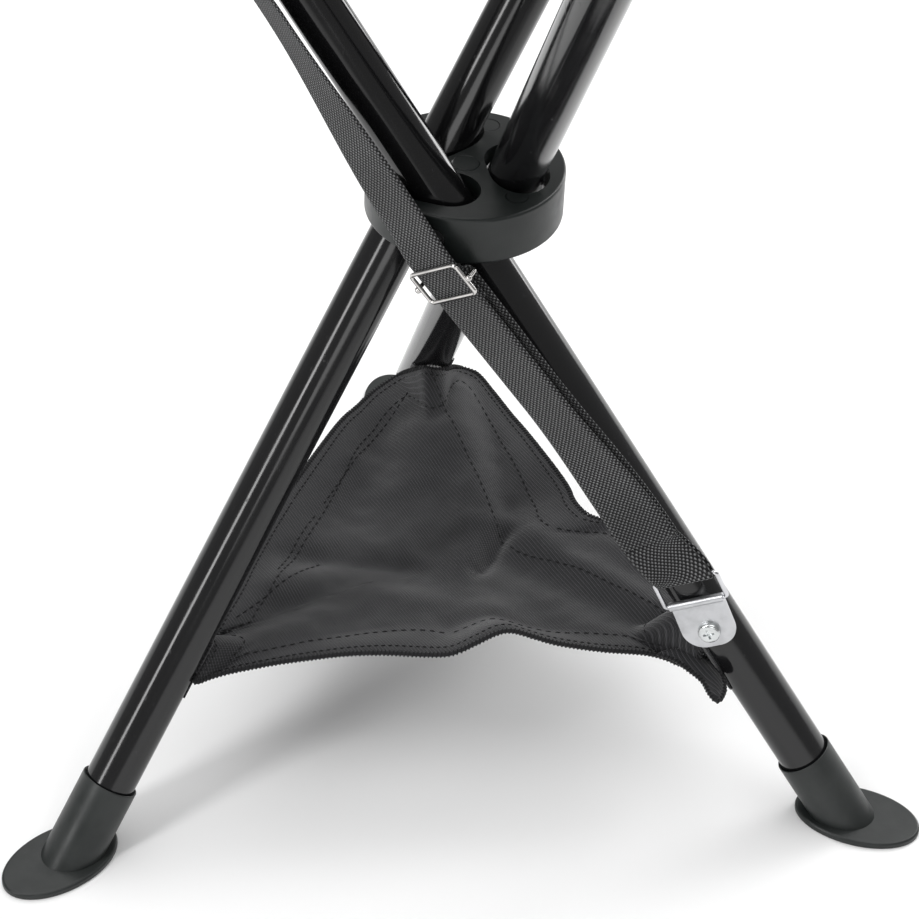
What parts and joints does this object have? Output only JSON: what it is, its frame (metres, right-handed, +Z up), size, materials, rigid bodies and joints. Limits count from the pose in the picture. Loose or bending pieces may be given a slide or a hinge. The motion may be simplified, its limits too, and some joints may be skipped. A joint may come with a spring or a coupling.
{
  "type": "camp stool",
  "caption": "Folding tripod camp stool: steel legs crossing in a round plastic hub, sling seat, lower cloth shelf and an adjustable shoulder strap.",
  "frame": {"origin": "on the floor, under the axis of the hub where the three legs cross", "axes": "+Z up along the hub's axis; +X from that axis through the middle of the hub's slot for leg c, whose foot lies towards +Y"},
  "size_m": [0.4009, 0.4276, 0.538],
  "materials": {
    "tube_enamel": "gloss black enamel",
    "hub_plastic": "satin moulded, dark grey-green",
    "foot_plastic": "satin moulded, dark grey-green",
    "plug_plastic": "matte black",
    "pin_steel": "plain steel",
    "screw_steel": "bright zinc plate",
    "washer_steel": "zinc plate",
    "tab_zinc": "zinc-plated sheet",
    "ring_wire": "bright plated wire",
    "slider_wire": "nickel-plated wire",
    "seat_cloth": "woven polyester, charcoal",
    "pouch_cloth": "woven polyester, charcoal",
    "pocket_cloth": "woven polyester, charcoal",
    "webbing": "black woven webbing with a light fleck"
  },
  "bodies": {
    "hub": {"hub": "hub_plastic", "pivot_pin_a": "pin_steel", "pivot_pin_b": "pin_steel", "pivot_pin_c": "pin_steel", "seat_panel": "seat_cloth", "pouch_panel": "pouch_cloth"},
    "leg_a": {"tube_a": "tube_enamel", "foot_a": "foot_plastic", "end_plug_a": "plug_plastic", "seat_pocket_a": "pocket_cloth", "pouch_washer_a": "washer_steel", "pouch_screw_a": "screw_steel", "strap_tab_low": "tab_zinc", "strap_screw_low": "screw_steel", "strap_tab_high": "tab_zinc", "strap_screw_high": "screw_steel", "webbing": "webbing"},
    "leg_b": {"tube_b": "tube_enamel", "foot_b": "foot_plastic", "end_plug_b": "plug_plastic", "seat_pocket_b": "pocket_cloth", "pouch_washer_b": "washer_steel", "pouch_screw_b": "screw_steel"},
    "leg_c": {"tube_c": "tube_enamel", "foot_c": "foot_plastic", "end_plug_c": "plug_plastic", "seat_pocket_c": "pocket_cloth", "pouch_washer_c": "washer_steel", "pouch_screw_c": "screw_steel"},
    "ring_low": {"strap_ring_low": "ring_wire"},
    "ring_high": {"strap_ring_high": "ring_wire"},
    "slider": {"slider_frame": "slider_wire", "slider_bar": "slider_wire"}
  },
  "joints": [
    {"name": "fold_a", "type": "hinge", "parent": "hub", "child": "leg_a", "pos_m": [-0.00975, -0.01689, 0.276], "axis": [0.5, 0.866, 0], "range_deg": [0, 35.4], "deforming": ["seat_panel", "pouch_panel"]},
    {"name": "fold_b", "type": "hinge", "parent": "hub", "child": "leg_b", "pos_m": [-0.00975, 0.01689, 0.276], "axis": [0.5, -0.866, 0], "range_deg": [0, 35.4], "deforming": ["seat_panel", "pouch_panel"]},
    {"name": "fold_c", "type": "hinge", "parent": "hub", "child": "leg_c", "pos_m": [0.0195, 0, 0.276], "axis": [-1, 0, 0], "range_deg": [0, 35.4], "deforming": ["seat_panel", "pouch_panel"]},
    {"name": "ring_low_swing", "type": "hinge", "parent": "leg_a", "child": "ring_low", "pos_m": [0.08845, -0.08816, 0.11425], "axis": [0.8441, -0.3291, 0.4234], "range_deg": [-5, 25], "deforming": ["webbing"]},
    {"name": "ring_high_swing", "type": "hinge", "parent": "leg_a", "child": "ring_high", "pos_m": [-0.12905, 0.04557, 0.44476], "axis": [0.1548, 0.9571, -0.2448], "range_deg": [-5, 25], "deforming": ["webbing"]},
    {"name": "slider_slide", "type": "slide", "parent": "leg_a", "child": "slider", "axis": [-0.5756, 0.2656, 0.7734], "range_m": [-0.06, 0], "deforming": ["webbing"]}
  ],
  "couplings": [
    {"joint": "fold_b", "follows": "fold_a", "ratio": 1},
    {"joint": "fold_c", "follows": "fold_a", "ratio": 1}
  ]
}
